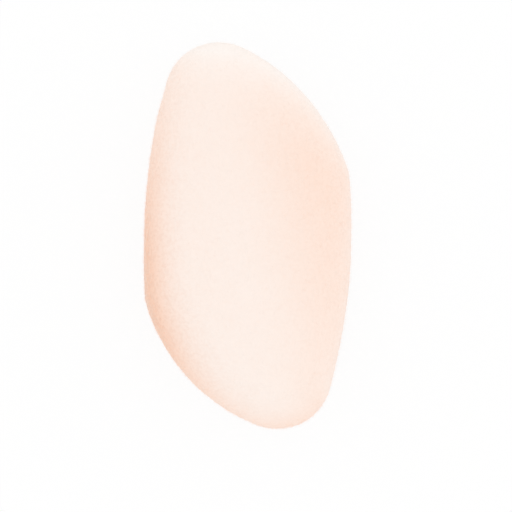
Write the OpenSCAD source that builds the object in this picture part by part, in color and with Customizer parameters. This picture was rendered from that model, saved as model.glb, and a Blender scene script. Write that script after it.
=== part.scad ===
// Flocked makeup sponge: a slanted, rounded pad of foam under a coat of glue and a velvety nap.
// It lies flat: X across, Y along, Z up, with the origin under the middle of the flat rest.

/* [Pad] */
// Length over the two rounded tips
pad_l = 76; // [66:1:90]
// Width over the two long sides
pad_w = 41; // [36:1:48]
// Thickness in the middle, from the flat rest to the crown
pad_t = 20; // [14:0.5:26]

/* [Outline] */
// Radius of the two rounded tips
tip_r = 11; // [8:0.5:13]
// Distance of each tip's centre from the middle line, which gives the slant
tip_shift = 5.6; // [3:0.2:8]
// Radius of the two blunt corners
corner_r = 9; // [5:0.5:14]
// Distance of each blunt corner's centre from the middle, along the length
corner_y = 10.7; // [8:0.1:14]
// Radius of the bowed long sides
long_side_r = 128; // [90:2:180]
// Radius of the bowed short sides
short_side_r = 39; // [34:1:60]

/* [Faces] */
// Width of the rounded edge, from the rim in to the face
edge_w = 9; // [5:0.5:12]
// Rise of each face from the rounded edge to the crown
crown_h = 2.2; // [1:0.1:4]
// Depth of the form that is pressed flat under the sponge
rest_cut = 0.5; // [0.2:0.1:0.9]

/* [Layers] */
// Length of the flocked pile
nap_t = 0.6; // [0.3:0.05:1]
// Thickness of the glue that holds the pile
glue_t = 0.15; // [0.1:0.05:0.4]

/* [Hidden] */
nap_color = [0.99, 0.92, 0.87];
glue_color = [0.96, 0.93, 0.88];
foam_color = [0.98, 0.86, 0.79];
// Height of the whole form, before its underside is pressed flat
form_t = pad_t + rest_cut;
// Level of the rim, half way up the form
rim_z = form_t / 2 - rest_cut;
// Steps round each arc of half the outline
side_steps = 5;
corner_steps = 2;
end_steps = 6;
tip_steps = 9;
// Steps from the rim up the rounded edge, from there to the crown, and from the rim to the rest
edge_steps = 5;
face_steps = 2;
under_steps = 6;
// Halvings that find where the underside meets its flat rest
halvings = 30;
// How far the last ring of the upper face stops short of the crown's middle line
crown_gap_share = 0.24;

// Centres of the four arcs that make the upper right half of the outline
tip_c = [-tip_shift, pad_l / 2 - tip_r];
side_c = let (
    x = pad_w / 2 - long_side_r,
    reach = long_side_r - tip_r)
    [x, -tip_c.y + sqrt(reach ^ 2 - (tip_shift - x) ^ 2)];
corner_c = let (
    reach = long_side_r - corner_r)
    [side_c.x + sqrt(reach ^ 2 - (corner_y - side_c.y) ^ 2), corner_y];
end_c = meet(corner_c, short_side_r - corner_r, tip_c, short_side_r - tip_r);

// Directions in which each arc meets the next one
tip_to_side = aim(side_c, -tip_c);
side_to_corner = aim(side_c, corner_c);
corner_to_end = aim(end_c, corner_c);
end_to_tip = aim(end_c, tip_c);

// Direction from point a to point b, as an angle from the X axis
function aim(a, b) = atan2(b.y - a.y, b.x - a.x);

// Point at distance ra from a and rb from b, on the left of the way from a to b
function meet(a, ra, b, rb) =
    let (
        gap = norm(b - a),
        along = (ra ^ 2 - rb ^ 2 + gap ^ 2) / (2 * gap),
        off = sqrt(ra ^ 2 - along ^ 2),
        u = (b - a) / gap)
    a + along * u + off * [-u.y, u.x];

// Points of one arc, without its last, which starts the next arc
function arc(c, r, from, to, steps) =
    [for (i = [0:steps - 1])
        let (q = from + (to - from) * i / steps)
        c + r * [cos(q), sin(q)]];

// The outline, drawn in by the depth of the layers above
function outline(depth) =
    let (half = concat(
        arc(side_c, long_side_r - depth, tip_to_side, side_to_corner, side_steps),
        arc(corner_c, corner_r - depth, side_to_corner, corner_to_end, corner_steps),
        arc(end_c, short_side_r - depth, corner_to_end, end_to_tip, end_steps),
        arc(tip_c, tip_r - depth, end_to_tip, tip_to_side + 180, tip_steps)))
    concat(half, [for (p = half) -p]);

// Height of the form over its rim at a distance in from the rim
function rise(in, depth) =
    let (
        edge = edge_w - depth,
        half = pad_w / 2 - depth,
        edge_part = 1 - min(in / edge, 1),
        face_part = 1 - in / half)
    (form_t / 2 - crown_h - depth) * sqrt(1 - edge_part ^ 2) + crown_h * (1 - face_part ^ 2);

// Distance in from the rim at which the underside meets its flat rest, between low and high
function rest_inset(depth, low, high, tries = halvings) =
    let (
        mid = (low + high) / 2,
        above = rise(mid, depth) < form_t / 2 - depth - rest_cut)
    tries == 0 ? mid
    : above ? rest_inset(depth, mid, high, tries - 1)
    : rest_inset(depth, low, mid, tries - 1);

// Distances in from the rim of the rings on a rounded edge, close at the rim and wider further in
function edge_insets(reach, steps) = [for (i = [1:steps]) reach * (1 - cos(90 * i / steps))];

// Distances in from the rim of the rings on a face, up to the last one at end
function face_insets(start, end) =
    [for (i = [1:face_steps]) start + (end - start) * i / face_steps];

// One ring, drawn in by the same distance at the long sides and at the tips
function ring(pts, in, z, depth) =
    let (
        x_scale = 1 - in / (pad_w / 2 - depth),
        y_scale = 1 - in / (pad_l / 2 - depth),
        lean = aim([0, 0], tip_c) - 90)
    [for (p = pts)
        let (
            across = p * [cos(lean), sin(lean)] * x_scale,
            along = p * [-sin(lean), cos(lean)] * y_scale)
        [across * cos(lean) - along * sin(lean), across * sin(lean) + along * cos(lean), z]];

// Closed pad, crowned above and below, whose skin lies at a depth inside the whole sponge
module pad(depth) {
    pts = outline(depth);
    half = pad_w / 2 - depth;
    edge = edge_w - depth;
    under = edge_insets(rest_inset(depth, 0, half), under_steps);
    over = concat(edge_insets(edge, edge_steps), face_insets(edge, half * (1 - crown_gap_share)));
    rings = concat(
        [for (i = [len(under) - 1:-1:0]) ring(pts, under[i], rim_z - rise(under[i], depth), depth)],
        [ring(pts, 0, rim_z, depth)],
        [for (in = over) ring(pts, in, rim_z + rise(in, depth), depth)]);
    n = len(pts);
    top = n * (len(rings) - 1);
    apex = n * len(rings);
    polyhedron(
        points = concat([for (r = rings, p = r) p], [[0, 0, rim_z + form_t / 2 - depth]]),
        faces = concat(
            [[for (i = [0:n - 1]) i]],
            [for (k = [0:len(rings) - 2], i = [0:n - 1], f = band(k * n, i, (i + 1) % n, n)) f],
            [for (i = [0:n - 1]) [top + i, apex, top + (i + 1) % n]]));
}

// Two triangles that join one step of a ring to the ring above
function band(base, i, j, n) = [
    [base + i, base + n + i, base + n + j],
    [base + i, base + n + j, base + j]];

// Cut and ground block of soft foam that gives the sponge its form
module foam_core() {
    color(foam_color) pad(nap_t + glue_t);
}

// Thin flexible coat of glue all over the foam
module adhesive_coat() {
    color(glue_color) difference() {
        pad(nap_t);
        pad(nap_t + glue_t);
    }
}

// Pile of short fibres that stands in the glue and makes the velvety skin
module flock_nap() {
    color(nap_color) difference() {
        pad(0);
        pad(nap_t);
    }
}

foam_core();
adhesive_coat();
flock_nap();
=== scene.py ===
# %% [markdown]
# # A flocked makeup sponge
# The object is one soft pad of foam with a velvety skin. Seen from above it is a slanted
# parallelogram whose corners are all round, and from the side it is a cushion with a full
# round edge. Foam is cut and ground to that form, coated with glue, and then very short
# fibres are shot into the glue so that they stand up as a nap, which is called flock.
#
# The measured parts come first. They are the fixed frame, and nothing here moves or resizes
# them. We only add what the eye sees: the skin of flock, its fibres and the finishes.

# %% Load the measured parts
import math

import bpy
import numpy as np
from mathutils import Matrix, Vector, noise


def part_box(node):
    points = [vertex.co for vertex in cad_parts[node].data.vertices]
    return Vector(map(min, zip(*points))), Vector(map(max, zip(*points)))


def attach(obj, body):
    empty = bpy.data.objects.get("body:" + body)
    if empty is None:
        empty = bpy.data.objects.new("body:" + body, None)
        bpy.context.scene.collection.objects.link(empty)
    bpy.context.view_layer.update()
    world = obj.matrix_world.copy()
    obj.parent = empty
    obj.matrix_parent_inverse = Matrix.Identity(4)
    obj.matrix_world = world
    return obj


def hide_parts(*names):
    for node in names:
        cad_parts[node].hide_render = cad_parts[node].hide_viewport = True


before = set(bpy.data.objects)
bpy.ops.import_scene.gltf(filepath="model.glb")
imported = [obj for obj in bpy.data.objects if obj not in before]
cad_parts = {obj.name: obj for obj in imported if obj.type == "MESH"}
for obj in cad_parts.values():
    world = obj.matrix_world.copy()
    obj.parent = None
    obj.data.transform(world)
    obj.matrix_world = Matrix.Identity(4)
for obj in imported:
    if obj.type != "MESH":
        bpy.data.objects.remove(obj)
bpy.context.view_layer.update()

# %% [markdown]
# ## The sizes we work from
# The sponge lies flat, with its rest on the ground plane. X runs across it, Y along it and Z
# up through its thickness. The overall sizes are read from the measured nap, so that they
# can't drift apart from it. The radii of the outline are the same few numbers that a
# template maker would use: two tips, two blunt corners, and two kinds of bowed side.

# %% Name the sizes
MM = 0.001
nap_low, nap_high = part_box("flock_nap")
LENGTH = nap_high[1] - nap_low[1]
WIDTH = nap_high[0] - nap_low[0]
THICKNESS = nap_high[2] - nap_low[2]
TIP_RADIUS = 11 * MM
TIP_SHIFT = 5.6 * MM
CORNER_RADIUS = 9 * MM
CORNER_PLACE = 10.7 * MM
LONG_SIDE_RADIUS = 128 * MM
SHORT_SIDE_RADIUS = 39 * MM
EDGE_WIDTH = 9 * MM
CROWN_RISE = 2.2 * MM
PRESSED_DEPTH = 0.5 * MM
FORM_HEIGHT = THICKNESS + PRESSED_DEPTH
RIM_LEVEL = FORM_HEIGHT / 2 - PRESSED_DEPTH
print(f"sponge {LENGTH / MM:.1f} x {WIDTH / MM:.1f} x {THICKNESS / MM:.1f} mm")

# %% [markdown]
# ## The outline
# An outline like this could be drawn freehand as a curve with eight handles. That is quick,
# but its bends wander. Here it is a chain of arcs in which each arc meets the next one
# without a corner, which is how a cutting die is drawn. Two arcs touch smoothly where the
# line through their centres crosses them, so every joint can be worked out from centres.

# %% Draw arcs that touch
ARC_STEP = 0.5 * MM


def direction(a, b):
    return math.atan2(b[1] - a[1], b[0] - a[0])


def meeting_point(a, reach_a, b, reach_b):
    """The point at one distance from a and another from b, on the left of the way to b."""
    gap = np.linalg.norm(b - a)
    along = (reach_a ** 2 - reach_b ** 2 + gap ** 2) / (2 * gap)
    off = math.sqrt(reach_a ** 2 - along ** 2)
    u = (b - a) / gap
    return a + along * u + off * np.array([-u[1], u[0]])


def arc(centre, radius, start, end):
    steps = max(2, round(radius * (end - start) / ARC_STEP))
    turns = start + (end - start) * np.arange(steps) / steps
    return centre + radius * np.stack([np.cos(turns), np.sin(turns)], 1)


print("half a turn round a tip takes", len(arc(np.zeros(2), TIP_RADIUS, 0, math.pi)), "points")

# %% [markdown]
# ### Both halves of it
# Four arcs make one half: a bowed long side, a blunt corner, a shorter bowed side and a tip.
# Each centre could be placed by eye. Here only the tip and the height of the corner are
# given, and the other centres follow from the rule of touching, so the outline stays smooth
# whichever radius changes. The second half is the first one turned by half a circle.

# %% Draw the outline
def sponge_outline(depth):
    """Points of the outline, drawn in by a depth under the nap's surface, and its lean."""
    tip = np.array([-TIP_SHIFT, LENGTH / 2 - TIP_RADIUS])
    reach = LONG_SIDE_RADIUS - TIP_RADIUS
    side_x = WIDTH / 2 - LONG_SIDE_RADIUS
    side_y = -tip[1] + math.sqrt(reach ** 2 - (TIP_SHIFT - side_x) ** 2)
    side = np.array([side_x, side_y])
    reach = LONG_SIDE_RADIUS - CORNER_RADIUS
    corner_x = side_x + math.sqrt(reach ** 2 - (CORNER_PLACE - side_y) ** 2)
    corner = np.array([corner_x, CORNER_PLACE])
    end = meeting_point(
        corner, SHORT_SIDE_RADIUS - CORNER_RADIUS, tip, SHORT_SIDE_RADIUS - TIP_RADIUS
    )
    tip_to_side = direction(side, -tip)
    side_to_corner = direction(side, corner)
    corner_to_end = direction(end, corner)
    end_to_tip = direction(end, tip)
    half = np.concatenate([
        arc(side, LONG_SIDE_RADIUS - depth, tip_to_side, side_to_corner),
        arc(corner, CORNER_RADIUS - depth, side_to_corner, corner_to_end),
        arc(end, SHORT_SIDE_RADIUS - depth, corner_to_end, end_to_tip),
        arc(tip, TIP_RADIUS - depth, end_to_tip, tip_to_side + math.pi),
    ])
    lean = math.atan2(tip[1], tip[0]) - math.pi / 2
    return np.concatenate([half, -half]), lean


outline_points, outline_lean = sponge_outline(0)
print(len(outline_points), "points, slant", round(math.degrees(outline_lean), 1), "degrees")

# %% [markdown]
# ## The rounded form
# The pad could be a subdivided box that is pulled into shape by hand, or a block whose edges
# are bevelled. Both make it hard to keep the edge a true round and the face a shallow crown.
# A loft does it in one go: rings of the same outline, drawn in step by step from the rim,
# each lifted by one formula. The formula is a quarter of an ellipse for the round edge plus
# a shallow bow for the crown.

# %% Lift and draw in one ring
def rise(inset, depth):
    """Height over the rim at a distance in from the rim."""
    edge_part = 1 - np.minimum(inset / (EDGE_WIDTH - depth), 1)
    face_part = 1 - inset / (WIDTH / 2 - depth)
    edge_height = FORM_HEIGHT / 2 - CROWN_RISE - depth
    return edge_height * np.sqrt(1 - edge_part ** 2) + CROWN_RISE * (1 - face_part ** 2)


def ring(points, lean, inset, z, depth):
    """The outline drawn in by one distance at its sides and its tips."""
    across_axis = np.array([math.cos(lean), math.sin(lean)])
    along_axis = np.array([-math.sin(lean), math.cos(lean)])
    across = points @ across_axis * (1 - inset / (WIDTH / 2 - depth))
    along = points @ along_axis * (1 - inset / (LENGTH / 2 - depth))
    flat = across[:, None] * across_axis + along[:, None] * along_axis
    return np.column_stack([flat, np.full(len(flat), z)])


print(f"the middle of the face lies {rise(WIDTH / 2, 0) / MM:.2f} mm over the rim")

# %% [markdown]
# ### All the rings
# Rings at even steps would leave a flat band where the edge turns most. So the steps follow
# a quarter of a circle and crowd together at the rim, which keeps it round with few rings.
# The underside is the same form turned over, pressed flat where it rests.

# %% Lay the rings
EDGE_RINGS = 26
FACE_RINGS = 16
LAST_RING_SHARE = 0.985


def form_rings(depth):
    """All rings of the pad, from the middle of its underside to the middle of its face."""
    points, lean = sponge_outline(depth)
    edge = EDGE_WIDTH - depth
    quarter = np.arange(1, EDGE_RINGS + 1) / EDGE_RINGS * math.pi / 2
    face = np.arange(1, FACE_RINGS + 1) / FACE_RINGS
    last = (WIDTH / 2 - depth) * LAST_RING_SHARE
    insets = np.concatenate([edge * (1 - np.cos(quarter)), edge + (last - edge) * face])
    rises = rise(insets, depth)
    upper = [ring(points, lean, i, RIM_LEVEL + r, depth) for i, r in zip(insets, rises)]
    lower = [
        ring(points, lean, i, max(RIM_LEVEL - r, depth), depth)
        for i, r in zip(insets[::-1], rises[::-1])
    ]
    return lower + [ring(points, lean, 0, RIM_LEVEL, depth)] + upper


print(len(form_rings(0)), "rings")

# %% [markdown]
# ### The mesh of the pad
# The rings could be joined with Blender's bridge tool. Every ring has the same number of
# points, though, so it is simpler to count: each point joins its neighbour and the two above
# them. One flat face closes each end, because the next step needs a form without a hole.
# The skin starts a tenth of a millimetre under the nap's surface, because its tufts will
# rise from there to about that surface.

# %% Skin the rings
SKIN_DEPTH = 0.10 * MM


def form_mesh(name, depth):
    """Closed mesh of the pad at a depth under the nap's surface."""
    rings = form_rings(depth)
    count = len(rings[0])
    faces = [list(range(count))[::-1]]
    for k in range(len(rings) - 1):
        base = k * count
        for i in range(count):
            j = (i + 1) % count
            faces.append([base + i, base + j, base + count + j, base + count + i])
    top = (len(rings) - 1) * count
    faces.append([top + i for i in range(count)])
    mesh = bpy.data.meshes.new(name)
    mesh.from_pydata(np.concatenate(rings).tolist(), [], faces)
    mesh.update()
    return mesh


def add_object(name, data):
    obj = bpy.data.objects.new(name, data)
    bpy.context.collection.objects.link(obj)
    return obj


skin = add_object("flock_skin", form_mesh("flock_skin", SKIN_DEPTH))
print("loft:", len(skin.data.vertices), "points")

# %% [markdown]
# ## An even skin to work on
# The loft is exact, but its quads are long at the rim and crowded at the middle, and a
# relief would show that. A voxel remesh turns it into quads of one size. A subdivision
# surface would only split the uneven quads further. The remesh leaves faint steps, and a
# few passes of smoothing take them out before any relief goes on.

# %% Remesh the form evenly
VOXEL = 0.305 * MM
SMOOTH_PASSES = 6
SMOOTH_STRENGTH = 0.5


def apply_modifiers(obj):
    """Works the modifiers into the object's own mesh."""
    graph = bpy.context.evaluated_depsgraph_get()
    made = bpy.data.meshes.new_from_object(obj.evaluated_get(graph))
    obj.modifiers.clear()
    old = obj.data
    obj.data = made
    bpy.data.meshes.remove(old)


remesh = skin.modifiers.new("even_quads", "REMESH")
remesh.mode = "VOXEL"
remesh.voxel_size = VOXEL
smooth = skin.modifiers.new("soften_steps", "SMOOTH")
smooth.factor = SMOOTH_STRENGTH
smooth.iterations = SMOOTH_PASSES
apply_modifiers(skin)
print("even skin:", len(skin.data.vertices), "points,", len(skin.data.polygons), "quads")

# %% [markdown]
# ## The relief of the nap
# Flock isn't smooth. The fibres gather in little tufts about a pin's head wide, the pores
# of the foam dimple them, and the whole pad swells a little here and there. A bump map could
# fake this, but it would vanish at the rim, where the skin is seen side on and the eye
# looks for it. So every point will be moved along its own normal by a sum of noises, from
# slow swells to fine tufts. The tufts are warped by chance, so that they don't look like
# tiles. The seed of that chance is set, and every run gives the same sponge.

# %% Read the skin and set up the noises
WARP = 0.35
WARP_SEED = 3
WARP_START = Vector((7.1, 2.3, 5.7))


def read_rows(mesh, name):
    """One row of three numbers per point: its place, "co", or its "normal"."""
    flat = np.empty(len(mesh.vertices) * 3)
    mesh.vertices.foreach_get(name, flat)
    return flat.reshape(-1, 3)


def noise_at(points, size, start):
    """Smooth noise from -1 to 1 whose lumps are about size wide."""
    return np.array([noise.noise(Vector(p) / size + start) for p in points])


def tuft_at(points, size, start):
    """Rounded tufts from 0 in the gaps to 1 on their tops."""
    noise.seed_set(WARP_SEED)
    made = []
    for p in points:
        q = Vector(p) / size + start
        q += Vector(noise.noise_vector(q + WARP_START)) * WARP
        near = noise.voronoi(q)[0]
        made.append(min(near[1] - near[0], 1))
    return np.array(made)


places = read_rows(skin.data, "co")
normals = read_rows(skin.data, "normal")
print("highest point", round(places[:, 2].max() / MM, 2), "mm")

# %% [markdown]
# ### A rim that isn't quite regular
# A pad that is ground by hand is never even. Its rim stands out or falls in by a fifth of a
# millimetre in a few places. Sculpting would do it, but nobody could repeat that, so it is a
# short list of soft bumps round the outline. They fade out towards the flat faces, by how
# far the skin faces sideways.

# %% Trim the rim unevenly
TRIMMED_RIM = (
    (57, 20, -0.19 * MM),
    (98, 18, 0.21 * MM),
    (118, 6, -0.25 * MM),
    (175, 28, -0.11 * MM),
    (228, 24, 0.14 * MM),
    (274, 11, -0.25 * MM),
    (333, 20, 0.15 * MM),
)


def rim_trim(points):
    """Soft bumps of the rim: each has a direction, a width in degrees and a height."""
    turns = np.degrees(np.arctan2(points[:, 1], points[:, 0]))
    total = np.zeros(len(points))
    for centre, width, height in TRIMMED_RIM:
        away = (turns - centre + 180) % 360 - 180
        total += height * np.exp(-(away / width) ** 2)
    return total


def sideways(normals):
    """How far the skin faces sideways, from 0 on the flat faces to 1 at the rim."""
    return 1 - normals[:, 2] ** 2


turned = sideways(normals)
trim = rim_trim(places) * turned
print(f"rim trimmed from {trim.min() / MM:.2f} to {trim.max() / MM:.2f} mm")

# %% [markdown]
# ### The sum of the noises
# A Displace modifier for each noise would do it too. Adding the noises up first moves every
# point only once, and the fine part of the sum can be used again later, for the shade in the
# gaps. Each noise starts at a place of its own in the endless pattern, so that no two of
# them line up. All movement fades out on the pressed rest, which a table holds flat.

# %% Shape the tufts and the soft swells
TUFT = 0.85 * MM
TUFT_HEIGHT = 0.11 * MM
TUFT_START = Vector((3.3, 8.1, 1.9))
GRAIN = 0.55 * MM
GRAIN_HEIGHT = 0.06 * MM
GRAIN_START = Vector((9.2, 4.4, 6.0))
DIMPLE = 3.2 * MM
DIMPLE_HEIGHT = 0.05 * MM
DIMPLE_START = Vector((1.7, 3.9, 2.6))
SWELL = 15 * MM
SWELL_HEIGHT = 0.07 * MM
SWELL_START = Vector((5.5, 0.7, 8.8))
REST_FADE = 0.8 * MM


def smooth_step(x):
    """A gentle step from 0 to 1 while x goes from 0 to 1."""
    t = np.clip(x, 0, 1)
    return t * t * (3 - 2 * t)


tufts = tuft_at(places, TUFT, TUFT_START)
grain = noise_at(places, GRAIN, GRAIN_START)
dimples = noise_at(places, DIMPLE, DIMPLE_START)
swells = noise_at(places, SWELL, SWELL_START)
fine = (tufts - tufts.mean()) * TUFT_HEIGHT + grain * GRAIN_HEIGHT + dimples * DIMPLE_HEIGHT
slow = swells * SWELL_HEIGHT + trim
free = smooth_step((places[:, 2] - SKIN_DEPTH) / REST_FADE)
move = (fine + slow) * free
shaped = places + normals * move[:, None]
shaped[:, 2] = np.maximum(shaped[:, 2] - SKIN_DEPTH * (1 - free), 0)
skin.data.vertices.foreach_set("co", shaped.ravel())
skin.data.update()
skin.data.shade_smooth()
print(f"relief from {move.min() / MM:.2f} to {move.max() / MM:.2f} mm")

# %% [markdown]
# ## Where the nap is painted pale and where it is painted deep
# Seen from above, the tone of this nap is painted light and shade. It has a pale ridge left
# of its middle and painted shade that grows warmer towards its right. Its rim has a deep
# painted shade on the left and the lower left. Lamps alone would make that shade grey, but in
# a pile it is warm, because the light that is lost there is mostly green and blue. So the
# tone is a number from 0, pale, to 1, deep, worked out for every point of the skin from its
# place and from the way it faces. First come two shares that it is made of.

# %% Find the warm side and the deep rim
# The warm side and the deep rim are where shade is painted.
RIDGE_LEAN = math.radians(9.5)
RIDGE_PLACE = -3.6 * MM
WARM_REACH = 26 * MM
DEEP_REACH = 21.7 * MM
DEEP_REACH_POWER = 3
DEEP_TURN_POWER = 0.6


def along_turn(vectors, turn):
    """How far each vector reaches in a level direction."""
    return vectors[:, 0] * math.cos(turn) + vectors[:, 1] * math.sin(turn)


def warm_shade_share(points):
    """How far a place is on the warm side of the ridge, where shade is painted, from 0 to 1."""
    return smooth_step((along_turn(points, RIDGE_LEAN) - RIDGE_PLACE) / WARM_REACH)


def deep_shade_share(points, normals):
    """How far a place is round the deep left rim, which is painted shade, from 0 to 1."""
    left = np.clip(-along_turn(points, RIDGE_LEAN) / DEEP_REACH, 0, 1)
    return left ** DEEP_REACH_POWER * sideways(normals) ** DEEP_TURN_POWER


warm = warm_shade_share(places)
deep = deep_shade_share(places, normals)
print(f"warm on {(warm > 0.5).mean():.0%} of the skin, deep on {(deep > 0.5).mean():.0%}")

# %% [markdown]
# ### The tone
# It could be painted on the mesh with a brush, but then nobody could tune it. So each part is
# one line: the ridge with the warm painted shade and a faint growth towards the upper end,
# the painted shade of the deep rim and the lower tip, and then the painted light of the pale
# side and the pale upper end, which is taken off again. The number is stored in the mesh,
# where the material will find it.

# %% Work out the nap's tone
# The deep rim, the lower tip and the warm side are painted shade; the pale rim and the pale upper
# end are painted light.
RIDGE_TONE = 0.208
WARM_SHADE_TONE = 0.36
UPWARD_TONE = 0.05
PAINTED_RIM_SHADE = 1.12
RIM_POWER = 1.25
PAINTED_TIP_SHADE = 0.50
LOW_RIM_POWER = 2
PALE_RIM_TURN = math.radians(54.5)
PAINTED_RIM_LIGHT = 0.39
PALE_END_TURN = math.radians(59)
PALE_END_START = 16.8 * MM
PALE_END_REACH = 17.9 * MM
PAINTED_END_LIGHT = 0.21


def painted_shading_tone(points, normals):
    """Painted light and shade of the nap, as a tone from 0, pale, to 1, deep."""
    rim = sideways(normals) ** RIM_POWER
    face = RIDGE_TONE + WARM_SHADE_TONE * warm_shade_share(points) + UPWARD_TONE * points[:, 1] / (LENGTH / 2)
    rim_shade = PAINTED_RIM_SHADE * deep_shade_share(points, normals)
    tip_shade = PAINTED_TIP_SHADE * np.clip(-normals[:, 1], 0, 1) ** LOW_RIM_POWER * rim
    side_light = PAINTED_RIM_LIGHT * np.clip(along_turn(normals, PALE_RIM_TURN), 0, 1) * rim
    up = along_turn(points, PALE_END_TURN)
    end_light = PAINTED_END_LIGHT * smooth_step((up - PALE_END_START) / PALE_END_REACH)
    return np.clip(face + rim_shade + tip_shade - side_light - end_light, 0, 1)


def add_value(mesh, name, values):
    """Stores one number per point, which a material can read by its name."""
    layer = mesh.attributes.new(name, "FLOAT", "POINT")
    layer.data.foreach_set("value", values.astype(np.float32))


skin_shading_tone = painted_shading_tone(places, normals)
add_value(skin.data, "painted_shading_tone", skin_shading_tone)
print(f"tone from {skin_shading_tone.min():.2f} to {skin_shading_tone.max():.2f}")

# %% [markdown]
# ### The painted shade between the fibres
# Between the fibres there is shade, and it is painted too. It is darker than the painted shade
# of the tone: it takes red away as well. Two more numbers hold it. One is the shade of the
# gaps between the tufts, which the relief already knows. It grows towards the rim, where we
# look along the pile, and most of all towards the deep rim. The other says how far the nap
# parts into pits that are finer than the mesh, and their darkness is painted shade as well.
# There are most of them on the deep side and hardly any on the ridge.

# %% Work out the shade between the fibres
# Painted shade in the gaps between the tufts and in the pits.
FACE_GAP_SHADE = 0.03
RIM_GAP_SHADE = 0.13
DEEP_GAP_SHADE = 1.0
DEEP_GAP_POWER = 2
RIDGE_PITS = 0.01
WARM_PITS = 0.06
DEEP_PITS = 0.30
DEEP_PITS_POWER = 0.5

tuft_top = (fine - fine.min()) / np.ptp(fine)
gap_shade = FACE_GAP_SHADE + RIM_GAP_SHADE * turned + DEEP_GAP_SHADE * deep ** DEEP_GAP_POWER
gap_shade *= 1 - tuft_top
pit_share = RIDGE_PITS + WARM_PITS * warm
pit_share += DEEP_PITS * deep ** DEEP_PITS_POWER
add_value(skin.data, "gap_shade", gap_shade)
add_value(skin.data, "pit_share", pit_share)
print(f"gap shade up to {gap_shade.max():.2f}, pits up to {pit_share.max():.2f}")

# %% [markdown]
# ## The fibres that stand out
# Millions of fibres make up the real pile, and most of them merge into one soft surface.
# What gives flock away is the fringe: single fibres that stand out against the light at
# the rim. Hair particles would draw them, but they aren't solid pieces. So a few tens of
# thousands are planted as thin spikes, at random places that are spread evenly by area.
# Under the rest they are pressed in, so none grows there.

# %% Choose where the fibres stand
FIBRE_COUNT = 42000
FIBRE_SEED = 11


def scatter(mesh, count, rng):
    """Random places on a mesh, with the normal at each."""
    mesh.calc_loop_triangles()
    corners = np.empty(len(mesh.loop_triangles) * 3, np.int32)
    mesh.loop_triangles.foreach_get("vertices", corners)
    corners = corners.reshape(-1, 3)
    points = read_rows(mesh, "co")
    normals = read_rows(mesh, "normal")
    a, b, c = (points[corners[:, k]] for k in range(3))
    areas = np.linalg.norm(np.cross(b - a, c - a), axis=1) / 2
    chosen = np.searchsorted(np.cumsum(areas) / areas.sum(), rng.random(count))
    u, v = rng.random(count), rng.random(count)
    folded = u + v > 1
    u[folded], v[folded] = 1 - u[folded], 1 - v[folded]
    w = np.stack([1 - u - v, u, v], 1)
    place = (points[corners[chosen]] * w[:, :, None]).sum(1)
    normal = (normals[corners[chosen]] * w[:, :, None]).sum(1)
    return place, normal / np.linalg.norm(normal, axis=1)[:, None]


rng = np.random.default_rng(FIBRE_SEED)
roots, outward = scatter(skin.data, FIBRE_COUNT, rng)
standing = roots[:, 2] > REST_FADE
roots, outward = roots[standing], outward[standing]
print(len(roots), "fibres to plant")

# %% [markdown]
# ### One fibre, many times
# Every fibre is a closed spike: three feet round its root and one tip. A rounder one would
# cost many more faces, and at this size nobody could see it. Each leans and grows a little
# differently, by chance and from the same seed each run. Each root is sunk into the skin, so
# that no fibre floats.

# %% Plant the fibres
FIBRE_LENGTH = 0.42 * MM
FIBRE_SPREAD = 0.16 * MM
SHORTEST_FIBRE = FIBRE_LENGTH / 3
FIBRE_RADIUS = 0.016 * MM
FIBRE_LEAN = 0.42
FIBRE_ROOT = 0.06 * MM
SIDES = 3


def fibre_mesh(name, place, normal, rng):
    """Slim closed spikes, each with its root sunk into the skin."""
    count = len(place)
    lean = rng.normal(0, FIBRE_LEAN, (count, 3))
    grow = normal + lean
    grow /= np.linalg.norm(grow, axis=1)[:, None]
    long = np.clip(rng.normal(FIBRE_LENGTH, FIBRE_SPREAD, count), SHORTEST_FIBRE, None)
    side = np.cross(grow, rng.normal(0, 1, (count, 3)))
    side /= np.linalg.norm(side, axis=1)[:, None]
    other = np.cross(grow, side)
    root = place - grow * FIBRE_ROOT
    turns = np.arange(SIDES) * 2 * math.pi / SIDES
    feet = [root + FIBRE_RADIUS * (math.cos(t) * side + math.sin(t) * other) for t in turns]
    tip = place + grow * long[:, None]
    points = np.stack(feet + [tip], 1).reshape(-1, 3)
    points[:, 2] = np.maximum(points[:, 2], 0)
    base = np.arange(count)[:, None] * (SIDES + 1)
    walls = [base + [k, (k + 1) % SIDES, SIDES] for k in range(SIDES)]
    faces = np.stack(walls + [base + [2, 1, 0]], 1).reshape(-1, 3)
    mesh = bpy.data.meshes.new(name)
    mesh.from_pydata(points.tolist(), [], faces.tolist())
    mesh.update()
    return mesh


fibres = add_object("flock_fibres", fibre_mesh("flock_fibres", roots, outward, rng))
# The fibres carry the skin's painted light and shade.
add_value(fibres.data, "painted_shading_tone", np.repeat(painted_shading_tone(roots, outward), SIDES + 1))
print(len(fibres.data.polygons), "faces of fibres")

# %% [markdown]
# ## Effects that the finishes share
# A finish is more than one colour. Two effects come back in several of them, so each is a
# node group that is built once and placed where it is wanted. Copying the nodes into each
# material would work too, but then every change would have to be made again in each. The
# groups put out only colours and values. The shader itself stays in each material.

# %% Write down how a node group is made
def new_group(name, inputs, outputs):
    """An empty node group with named sockets, and its two end nodes."""
    group = bpy.data.node_groups.new(name, "ShaderNodeTree")
    for label, kind, value in inputs:
        socket = group.interface.new_socket(label, in_out="INPUT", socket_type=kind)
        socket.default_value = value
    for label, kind in outputs:
        group.interface.new_socket(label, in_out="OUTPUT", socket_type=kind)
    start = group.nodes.new("NodeGroupInput")
    end = group.nodes.new("NodeGroupOutput")
    return group, start, end


def add_node(tree, kind, **settings):
    node = tree.nodes.new(kind)
    for key, value in settings.items():
        setattr(node, key, value)
    return node


print("node groups so far:", len(bpy.data.node_groups))

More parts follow.
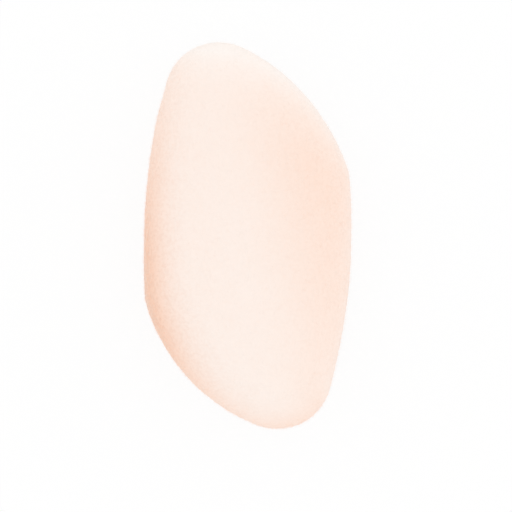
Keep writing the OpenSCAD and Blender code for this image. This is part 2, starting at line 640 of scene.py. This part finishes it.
# %% [markdown]
# ### A slow drift of tone
# Dyed fibre, foam and glue are never quite one colour from end to end. A painted picture
# could show that, but it would need a map of the surface and would end in seams. A large
# soft noise that blends two colours has neither, and two numbers tune it.

# %% Build the slow drift of tone
CLOUD_DETAIL = 3
CLOUD_LOW = 0.35
CLOUD_HIGH = 0.7


def build_tone_drift():
    """Base colour that drifts slowly lighter and darker over the surface."""
    group, start, end = new_group(
        "tone_drift",
        [
            ("Colour", "NodeSocketColor", (0.8, 0.8, 0.8, 1)),
            ("Deep Colour", "NodeSocketColor", (0.6, 0.6, 0.6, 1)),
            ("Size", "NodeSocketFloat", 100.0),
            ("Amount", "NodeSocketFloat", 0.2),
        ],
        [("Colour", "NodeSocketColor")],
    )
    link = group.links.new
    coord = add_node(group, "ShaderNodeTexCoord")
    cloud = add_node(group, "ShaderNodeTexNoise")
    cloud.inputs["Detail"].default_value = CLOUD_DETAIL
    span = add_node(group, "ShaderNodeMapRange")
    span.inputs["From Min"].default_value = CLOUD_LOW
    span.inputs["From Max"].default_value = CLOUD_HIGH
    scaled = add_node(group, "ShaderNodeMath", operation="MULTIPLY")
    blend = add_node(group, "ShaderNodeMix", data_type="RGBA")
    link(coord.outputs["Object"], cloud.inputs["Vector"])
    link(start.outputs["Size"], cloud.inputs["Scale"])
    link(cloud.outputs["Fac"], span.inputs["Value"])
    link(span.outputs["Result"], scaled.inputs[0])
    link(start.outputs["Amount"], scaled.inputs[1])
    link(scaled.outputs["Value"], blend.inputs["Factor"])
    link(start.outputs["Colour"], blend.inputs["A"])
    link(start.outputs["Deep Colour"], blend.inputs["B"])
    link(blend.outputs["Result"], end.inputs["Colour"])
    return group


tone_drift = build_tone_drift()
print("group:", tone_drift.name)

# %% [markdown]
# ### A fine grain
# Seen closely, fibre ends and pores make a fine uneven grain. Noise alone looks too soft for
# it, and cells alone look like tiles, so this group blends the two, and one number says how
# sharp the blend is. It gives a bump its height, and a colour the mask of its pits.

# %% Build the fine grain
SPECK_DETAIL = 2


def build_fine_grain():
    """Height of a fine grain, for a bump, and a mask of its pits, for a colour."""
    group, start, end = new_group(
        "fine_grain",
        [
            ("Size", "NodeSocketFloat", 2000.0),
            ("Sharpness", "NodeSocketFloat", 0.5),
            ("Pit Top", "NodeSocketFloat", 0.45),
            ("Pit Floor", "NodeSocketFloat", 0.3),
        ],
        [("Height", "NodeSocketFloat"), ("Pits", "NodeSocketFloat")],
    )
    link = group.links.new
    coord = add_node(group, "ShaderNodeTexCoord")
    specks = add_node(group, "ShaderNodeTexNoise")
    specks.inputs["Detail"].default_value = SPECK_DETAIL
    cells = add_node(group, "ShaderNodeTexVoronoi")
    mix = add_node(group, "ShaderNodeMix", data_type="FLOAT")
    link(coord.outputs["Object"], specks.inputs["Vector"])
    link(coord.outputs["Object"], cells.inputs["Vector"])
    link(start.outputs["Size"], specks.inputs["Scale"])
    link(start.outputs["Size"], cells.inputs["Scale"])
    link(start.outputs["Sharpness"], mix.inputs["Factor"])
    link(specks.outputs["Fac"], mix.inputs["A"])
    link(cells.outputs["Distance"], mix.inputs["B"])
    link(mix.outputs["Result"], end.inputs["Height"])
    pits = add_node(group, "ShaderNodeMapRange", interpolation_type="SMOOTHSTEP")
    link(mix.outputs["Result"], pits.inputs["Value"])
    link(start.outputs["Pit Top"], pits.inputs["From Min"])
    link(start.outputs["Pit Floor"], pits.inputs["From Max"])
    link(pits.outputs["Result"], end.inputs["Pits"])
    return group


fine_grain = build_fine_grain()
print("group:", fine_grain.name)

# %% [markdown]
# ## The finish of the flock
# Light wanders inside a pile, red furthest, so the nap is a pale peach that turns into a
# deep one where its green and blue are lost. Subsurface scattering could show that, but it
# blurs so fine a relief and leaves grain in the picture. Here the stored tone paints that
# light and shade on: it blends the two peaches.

# %% Colour the nap by its tone
PALE_PEACH = (0.99, 0.943, 0.905, 1)
# The deep peach is painted shade here, and the slow drift of tone blends towards it too.
DEEP_SHADE_AND_DRIFT_PEACH = (0.99, 0.64, 0.47, 1)


def new_material(name):
    material = bpy.data.materials.new(name)
    material.use_nodes = True
    tree = material.node_tree
    return material, tree, tree.nodes["Principled BSDF"]


def read_value(tree, name):
    """Socket that reads a number stored in the mesh."""
    node = add_node(tree, "ShaderNodeAttribute", attribute_name=name)
    return node.outputs["Fac"]


def blend_colour(tree, mask, first, second):
    """Colour socket that goes from first to second as the mask goes from 0 to 1."""
    node = add_node(tree, "ShaderNodeMix", data_type="RGBA")
    tree.links.new(mask, node.inputs["Factor"])
    for label, colour in (("A", first), ("B", second)):
        if isinstance(colour, tuple):
            node.inputs[label].default_value = colour
        else:
            tree.links.new(colour, node.inputs[label])
    return node.outputs["Result"]


def nap_colour_with_shading(tree):
    """The peach of the nap, pale or deep by the painted light and shade that the mesh stores."""
    return blend_colour(tree, read_value(tree, "painted_shading_tone"), PALE_PEACH, DEEP_SHADE_AND_DRIFT_PEACH)


flock, flock_tree, flock_shader = new_material("peach_flock")
peach_with_painted_shading = nap_colour_with_shading(flock_tree)
print("material:", flock.name)

# %% [markdown]
# ### The shade goes on
# The pits of a fine grain are let through as far as their stored share says, and the gap
# shade is added. The sum blends the peach with a third, darker one. Multiplying the colour
# would be simpler, but it would darken red, green and blue alike, and real shade in peach
# fibres stays warm. A very slow drift goes over it all.

# %% Shade the pits and the gaps
SHADED_PEACH = (0.82, 0.55, 0.42, 1)
PILE_PITS = {"Size": 1400.0, "Sharpness": 0.2, "Pit_Top": 0.58, "Pit_Floor": 0.36}
PEACH_DRIFT = {"Size": 90.0, "Amount": 0.04}


def place_group(tree, group, **values):
    """Places a node group and sets its inputs; a space in a name is written _ here."""
    node = add_node(tree, "ShaderNodeGroup", node_tree=group)
    for label, value in values.items():
        node.inputs[label.replace("_", " ")].default_value = value
    return node


def multiply_add(tree, source, factor, added, use_clamp=False):
    """Socket with source times factor plus added; each is a number or a socket."""
    node = add_node(tree, "ShaderNodeMath", operation="MULTIPLY_ADD", use_clamp=use_clamp)
    for socket, value in zip(node.inputs, (source, factor, added)):
        if isinstance(value, (int, float)):
            socket.default_value = value
        else:
            tree.links.new(value, socket)
    return node.outputs["Value"]


pile_pits = place_group(flock_tree, fine_grain, **PILE_PITS).outputs["Pits"]
stored_pits = read_value(flock_tree, "pit_share")
stored_gaps = read_value(flock_tree, "gap_shade")
shade = multiply_add(flock_tree, pile_pits, stored_pits, stored_gaps, use_clamp=True)
drift = place_group(flock_tree, tone_drift, Deep_Colour=DEEP_SHADE_AND_DRIFT_PEACH, **PEACH_DRIFT)
shaded = blend_colour(flock_tree, shade, peach_with_painted_shading, SHADED_PEACH)
flock_tree.links.new(shaded, drift.inputs["Colour"])
flock_tree.links.new(drift.outputs["Colour"], flock_shader.inputs["Base Color"])
print("colour nodes:", len(flock_tree.nodes))

# %% [markdown]
# ### Dull, dimpled and soft to the light
# Flock drinks light: it has no gloss, so it is rough all over. Its edges bloom, because
# fibres seen side on catch light that a flat surface would throw away, and the sheen of the
# main shader does this. Its finest relief is smaller than the mesh, so that part is a bump:
# a finer grain for the fibre ends, lowered where the shade says there is a pit or a gap.

# %% Finish the skin
PILE_GRAIN = {"Size": 4200.0, "Sharpness": 0.4}
PILE_ROUGHNESS = (0.86, 1.0)
PILE_BUMP = 0.7
PILE_BUMP_DEPTH = 0.08 * MM
PIT_DEPTH = -2.0
PILE_GLOSS = 0.15
PILE_SHEEN = 0.8
PILE_SHEEN_ROUGHNESS = 0.45
PILE_SHEEN_TINT = (1.0, 0.93, 0.88, 1)


def grain_roughness(tree, shader, height, low, high):
    """Makes the roughness follow the grain, from low in its pits to high on its tops."""
    rough = add_node(tree, "ShaderNodeMapRange")
    rough.inputs["To Min"].default_value = low
    rough.inputs["To Max"].default_value = high
    tree.links.new(height, rough.inputs["Value"])
    tree.links.new(rough.outputs["Result"], shader.inputs["Roughness"])


def grain_bump(tree, shader, height, strength, depth):
    bump = add_node(tree, "ShaderNodeBump")
    bump.inputs["Strength"].default_value = strength
    bump.inputs["Distance"].default_value = depth
    tree.links.new(height, bump.inputs["Height"])
    tree.links.new(bump.outputs["Normal"], shader.inputs["Normal"])


pile_height = place_group(flock_tree, fine_grain, **PILE_GRAIN).outputs["Height"]
grain_roughness(flock_tree, flock_shader, pile_height, *PILE_ROUGHNESS)
pitted_height = multiply_add(flock_tree, shade, PIT_DEPTH, pile_height)
grain_bump(flock_tree, flock_shader, pitted_height, PILE_BUMP, PILE_BUMP_DEPTH)
flock_shader.inputs["Specular IOR Level"].default_value = PILE_GLOSS
flock_shader.inputs["Sheen Weight"].default_value = PILE_SHEEN
flock_shader.inputs["Sheen Roughness"].default_value = PILE_SHEEN_ROUGHNESS
flock_shader.inputs["Sheen Tint"].default_value = PILE_SHEEN_TINT
skin.data.materials.clear()
skin.data.materials.append(flock)
print("skin finish:", flock.name, "with", len(flock_tree.nodes), "nodes")

# %% [markdown]
# ### The finish of the fibres
# A single fibre is a smooth round thread, so it is a little glossier than the pile. It could
# have one plain colour, but then the fringe would show as a rim of another tone. So it takes
# the nap's colour where it stands, with the same painted light and shade.

# %% Finish the fibres
FIBRE_ROUGHNESS = 0.7
FIBRE_GLOSS = 0.2
FIBRE_SHEEN = 0.2

thread, thread_tree, thread_shader = new_material("flock_fibre")
thread_tree.links.new(nap_colour_with_shading(thread_tree), thread_shader.inputs["Base Color"])
thread_shader.inputs["Roughness"].default_value = FIBRE_ROUGHNESS
thread_shader.inputs["Specular IOR Level"].default_value = FIBRE_GLOSS
thread_shader.inputs["Sheen Weight"].default_value = FIBRE_SHEEN
fibres.data.materials.append(thread)
print("fibre finish:", thread.name)

# %% [markdown]
# ## The foam inside
# It doesn't show while the sponge is whole, but it is a real piece, so it keeps its measured
# solid and gets a finish of its own. Cut foam is full of open pores. They could be holes in
# the mesh, but there are far too many, so a sharp grain darkens them with painted shade and
# dimples them.

# %% Finish the foam
FOAM_COLOUR = (0.93, 0.71, 0.60, 1)
# The pore colour is painted shade in the pores, and the slow drift of tone uses it too.
FOAM_PORE_SHADE_AND_DRIFT = (0.70, 0.45, 0.35, 1)
FOAM_GRAIN = {"Size": 2600.0, "Sharpness": 0.9}
FOAM_ROUGHNESS = (0.85, 1.0)
FOAM_BUMP_DEPTH = 0.2 * MM
INNER_DRIFT = {"Size": 120.0, "Amount": 0.4}
INNER_PORES = {"Pit_Top": 0.45, "Pit_Floor": 0.15}
INNER_BUMP = 0.8


def grained_material(name, colour, deep, grain_values, roughness, depth):
    material, tree, shader = new_material(name)
    drift = place_group(tree, tone_drift, Colour=colour, Deep_Colour=deep, **INNER_DRIFT)
    grained = place_group(tree, fine_grain, **grain_values, **INNER_PORES)
    pored = blend_colour(tree, grained.outputs["Pits"], drift.outputs["Colour"], deep)
    tree.links.new(pored, shader.inputs["Base Color"])
    grain_roughness(tree, shader, grained.outputs["Height"], *roughness)
    grain_bump(tree, shader, grained.outputs["Height"], INNER_BUMP, depth)
    return material


def give_material(node, material):
    """Dresses a measured part through its slots, so that its mesh stays as it is."""
    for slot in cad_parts[node].material_slots:
        slot.link = "OBJECT"
        slot.material = material


foam = grained_material(
    "peach_foam", FOAM_COLOUR, FOAM_PORE_SHADE_AND_DRIFT, FOAM_GRAIN, FOAM_ROUGHNESS, FOAM_BUMP_DEPTH
)
give_material("foam_core", foam)
print("foam finish:", foam.name)

# %% [markdown]
# ## The glue round it
# The glue is a milky film between the foam and the nap, smoother than both and a little
# glossy, with faint swirls where it was spread. It could share the foam's finish, since
# neither shows, but the two would look like one piece if they were ever taken apart.

# %% Finish the glue
GLUE_COLOUR = (0.90, 0.85, 0.77, 1)
GLUE_SWIRL = (0.80, 0.72, 0.62, 1)
GLUE_GRAIN = {"Size": 500.0, "Sharpness": 0.2}
GLUE_ROUGHNESS = (0.35, 0.6)
GLUE_BUMP_DEPTH = 0.03 * MM

glue = grained_material(
    "milky_glue", GLUE_COLOUR, GLUE_SWIRL, GLUE_GRAIN, GLUE_ROUGHNESS, GLUE_BUMP_DEPTH
)
give_material("adhesive_coat", glue)
print("glue finish:", glue.name)

# %% [markdown]
# ## Tell the frame what each piece is
# The model moves in bodies, and each new piece has to say which one carries it. This sponge
# has only one. The skin stands for the measured nap, which is hidden.

for piece in (skin, fibres):
    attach(piece, "root")
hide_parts("flock_nap")
print("pieces declared:", skin.name, fibres.name)

# %% [markdown]
# ## The paper it lies on
# The background is plain white. Brighter lamps would whiten it too, but they would bleach
# the sponge. So the floor takes the light like pale paper, and rays that come straight from
# the camera or off a gloss see most of it as plain white. Only a soft shadow is left.

# %% Mix the paper
FLOOR_COLOUR = (0.97, 0.97, 0.97, 1)
FLOOR_ROUGHNESS = 0.9
FLOOR_GLOSS = 0.1
PLAIN_SHARE = 0.88


def clear_rays(tree):
    """Mask of the rays that see the plain background: camera, glossy or transmission."""
    path = add_node(tree, "ShaderNodeLightPath")
    total = path.outputs["Is Camera Ray"]
    for label in ("Is Glossy Ray", "Is Transmission Ray"):
        both = add_node(tree, "ShaderNodeMath", operation="ADD", use_clamp=True)
        tree.links.new(total, both.inputs[0])
        tree.links.new(path.outputs[label], both.inputs[1])
        total = both.outputs["Value"]
    return total


paper, paper_tree, paper_shader = new_material("white_floor")
paper_shader.inputs["Base Color"].default_value = FLOOR_COLOUR
paper_shader.inputs["Roughness"].default_value = FLOOR_ROUGHNESS
paper_shader.inputs["Specular IOR Level"].default_value = FLOOR_GLOSS
share = add_node(paper_tree, "ShaderNodeMath", operation="MULTIPLY")
share.inputs[1].default_value = PLAIN_SHARE
plain = add_node(paper_tree, "ShaderNodeEmission")
mix = add_node(paper_tree, "ShaderNodeMixShader")
paper_output = paper_tree.nodes["Material Output"]
paper_tree.links.new(clear_rays(paper_tree), share.inputs[0])
paper_tree.links.new(share.outputs["Value"], mix.inputs["Fac"])
paper_tree.links.new(paper_shader.outputs["BSDF"], mix.inputs[1])
paper_tree.links.new(plain.outputs["Emission"], mix.inputs[2])
paper_tree.links.new(mix.outputs["Shader"], paper_output.inputs["Surface"])
print("paper:", paper.name)

# %% [markdown]
# ### The floor itself
# One square is enough, as long as it reaches past the edge of every picture. A curved
# backdrop would hide the horizon in low views, but here the room behind it is white too.

# %% Lay the floor
FLOOR_SIZE = 3.0
FLOOR_CORNERS = ((-1, -1, 0), (1, -1, 0), (1, 1, 0), (-1, 1, 0))

floor_mesh = bpy.data.meshes.new("floor")
floor_mesh.from_pydata(FLOOR_CORNERS, [], [(0, 1, 2, 3)])
floor = add_object("floor", floor_mesh)
floor.scale = (FLOOR_SIZE / 2, FLOOR_SIZE / 2, 1)
floor.data.materials.append(paper)
print("floor", FLOOR_SIZE, "m wide")

# %% [markdown]
# ## The room
# The photograph has hardly a shadow, so most of its light is even and comes from all round.
# A ring of big lamps could give that, but a white world does it more simply and leaves no
# seams in the light. What the camera sees of it directly is plain white.

# %% Set the world
ROOM_LIGHT = 0.988
WHITE = (1, 1, 1, 1)

world = bpy.data.worlds.new("studio")
world.use_nodes = True
room_tree = world.node_tree
room = room_tree.nodes["Background"]
room.inputs["Color"].default_value = WHITE
room.inputs["Strength"].default_value = ROOM_LIGHT
seen = add_node(room_tree, "ShaderNodeBackground")
seen.inputs["Color"].default_value = WHITE
seen_mix = add_node(room_tree, "ShaderNodeMixShader")
room_output = room_tree.nodes["World Output"]
room_tree.links.new(clear_rays(room_tree), seen_mix.inputs["Fac"])
room_tree.links.new(room.outputs["Background"], seen_mix.inputs[1])
room_tree.links.new(seen.outputs["Background"], seen_mix.inputs[2])
room_tree.links.new(seen_mix.outputs["Shader"], room_output.inputs["Surface"])
bpy.context.scene.world = world
print("room light", ROOM_LIGHT)

# %% [markdown]
# ## The lamps
# Even light alone leaves the rim of a round thing a little duller than its face, because the
# rim looks at the floor as well. One big lamp overhead would make that worse. So four weak
# soft lamps stand low round the sponge and light its rim more than its face. The left one is
# the weakest, because the left rim is the deep one.

# %% Hang the lamps
LAMP_SIZE = 0.30
LAMPS = (
    ("upper_softbox", (-0.08, 0.58, 0.20), 0.13),
    ("right_softbox", (0.60, 0.10, 0.18), 0.13),
    ("lower_softbox", (0.20, -0.56, 0.18), 0.09),
    ("left_softbox", (-0.58, -0.10, 0.20), 0.06),
)


def add_lamp(name, place, power):
    """A square soft lamp that faces the sponge."""
    light = bpy.data.lights.new(name, "AREA")
    light.shape = "SQUARE"
    light.size = LAMP_SIZE
    light.energy = power
    lamp = add_object(name, light)
    lamp.location = place
    lamp.rotation_mode = "QUATERNION"
    lamp.rotation_quaternion = (-Vector(place)).to_track_quat("-Z", "Y")


for name, place, power in LAMPS:
    add_lamp(name, place, power)
print(len(LAMPS), "lamps")

# %% [markdown]
# ## The camera
# The photograph looks square on at the wide face, from far off. The sponge lies flat here,
# so the camera looks straight down, with the sponge's length running up the picture. The
# middle of the sponge lies a little left of and above the middle of the picture, and the
# camera is moved sideways for that instead of being shifted, so other views stay centred.

# %% Place the camera
PICTURE_PX = 512
SPONGE_HEIGHT_PX = 386.8
SPONGE_MIDDLE_PX = (247.4, 236.6)
LENS = 180
SENSOR = 36
NEAREST = 0.01
FURTHEST = 10

metres_per_px = LENGTH / SPONGE_HEIGHT_PX
distance = PICTURE_PX * metres_per_px * LENS / SENSOR
aim_x = (PICTURE_PX / 2 - SPONGE_MIDDLE_PX[0]) * metres_per_px
aim_y = (SPONGE_MIDDLE_PX[1] - PICTURE_PX / 2) * metres_per_px
camera_data = bpy.data.cameras.new("camera")
camera_data.lens = LENS
camera_data.sensor_width = SENSOR
camera_data.clip_start = NEAREST
camera_data.clip_end = FURTHEST
camera = add_object("camera", camera_data)
camera.location = (aim_x, aim_y, RIM_LEVEL + distance)
bpy.context.scene.camera = camera
bpy.context.scene.view_settings.view_transform = "Standard"
print(f"camera {distance:.3f} m over the rim")
